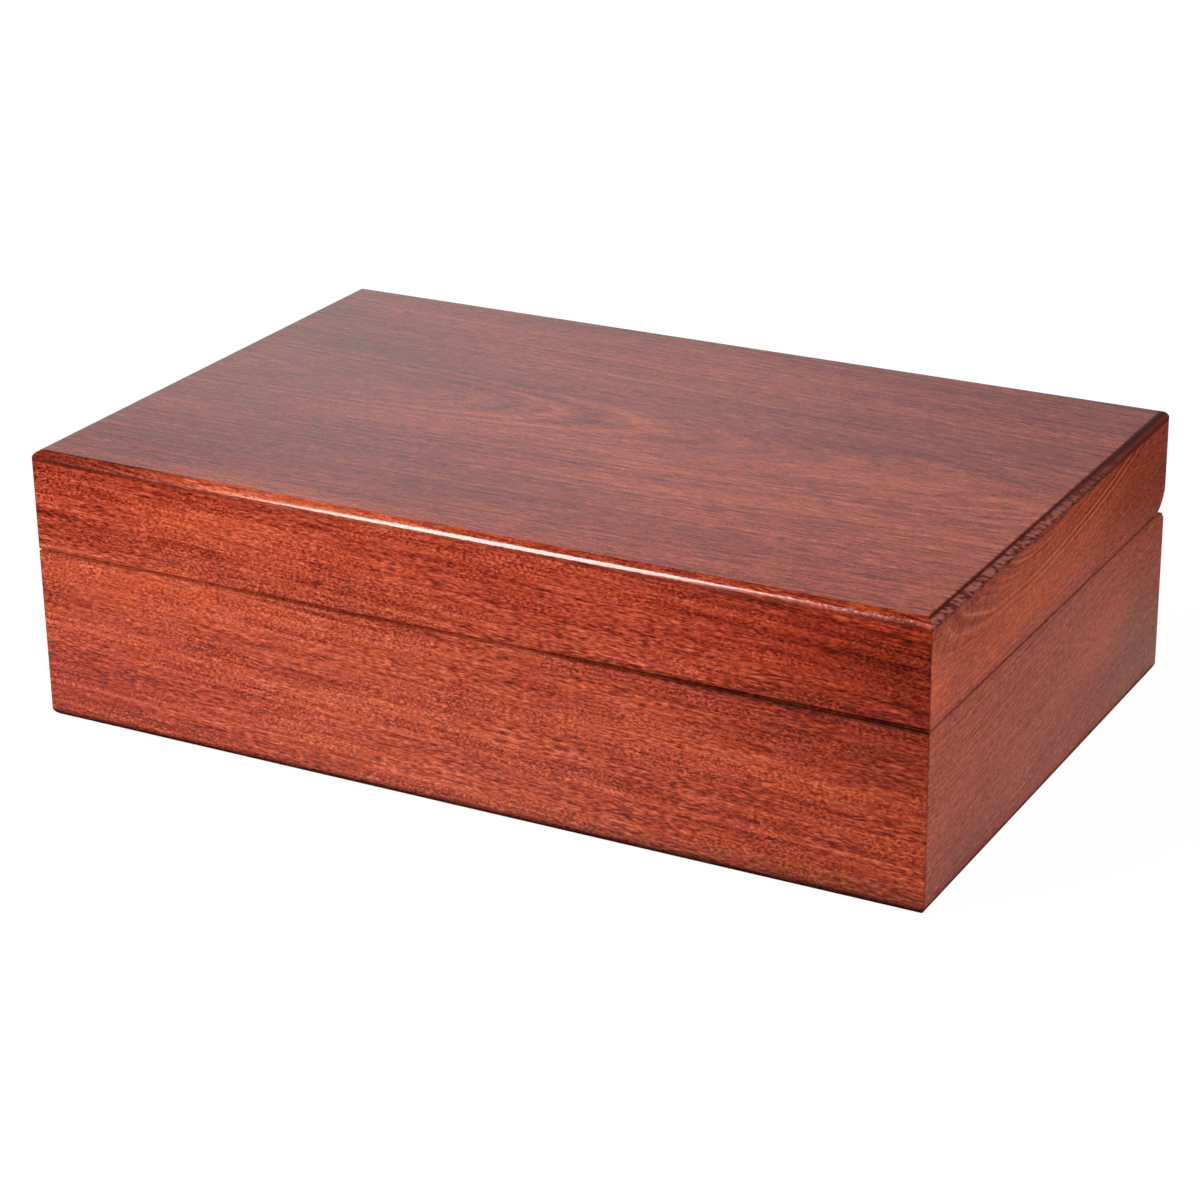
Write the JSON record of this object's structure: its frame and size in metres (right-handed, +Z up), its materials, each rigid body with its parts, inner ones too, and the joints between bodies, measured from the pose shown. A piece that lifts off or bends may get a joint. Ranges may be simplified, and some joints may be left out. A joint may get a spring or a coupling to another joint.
{
  "type": "tea chest",
  "caption": "Low rectangular wooden tea chest with a hinged lid, rounded top edges and a grid of dividers inside, in red-brown lacquered wood.",
  "frame": {"origin": "the middle of the underside, on the surface that the chest stands on", "axes": "+X along the length, to the right as seen from the front; +Y to the hinged back; +Z up"},
  "size_m": [0.34, 0.216, 0.1016],
  "materials": {
    "stained_walls": "red-brown stain under satin lacquer",
    "stained_top": "red-brown stain under satin lacquer",
    "stained_dividers": "red-brown stain, thin satin lacquer",
    "bottom_plywood": "stained thin plywood",
    "brass_hinges": "stamped and polished brass",
    "brass_screws": "turned brass"
  },
  "bodies": {
    "base": {"base_front_wall": "stained_walls", "base_back_wall": "stained_walls", "base_left_wall": "stained_walls", "base_right_wall": "stained_walls", "base_bottom_panel": "bottom_plywood", "long_divider": "stained_dividers", "cross_divider_left": "stained_dividers", "cross_divider_middle": "stained_dividers", "cross_divider_right": "stained_dividers", "left_hinge_base_leaf": "brass_hinges", "right_hinge_base_leaf": "brass_hinges", "left_hinge_pin": "brass_hinges", "right_hinge_pin": "brass_hinges", "base_hinge_screws": "brass_screws"},
    "lid": {"lid_front_rail": "stained_walls", "lid_back_rail": "stained_walls", "lid_left_rail": "stained_walls", "lid_right_rail": "stained_walls", "lid_top_panel": "stained_top", "left_hinge_lid_leaf": "brass_hinges", "right_hinge_lid_leaf": "brass_hinges", "lid_hinge_screws": "brass_screws"}
  },
  "joints": [
    {"name": "lid_hinge", "type": "hinge", "parent": "base", "child": "lid", "pos_m": [0, 0.1035, 0.0645], "axis": [-1, 0, 0], "range_deg": [0, 103]}
  ]
}
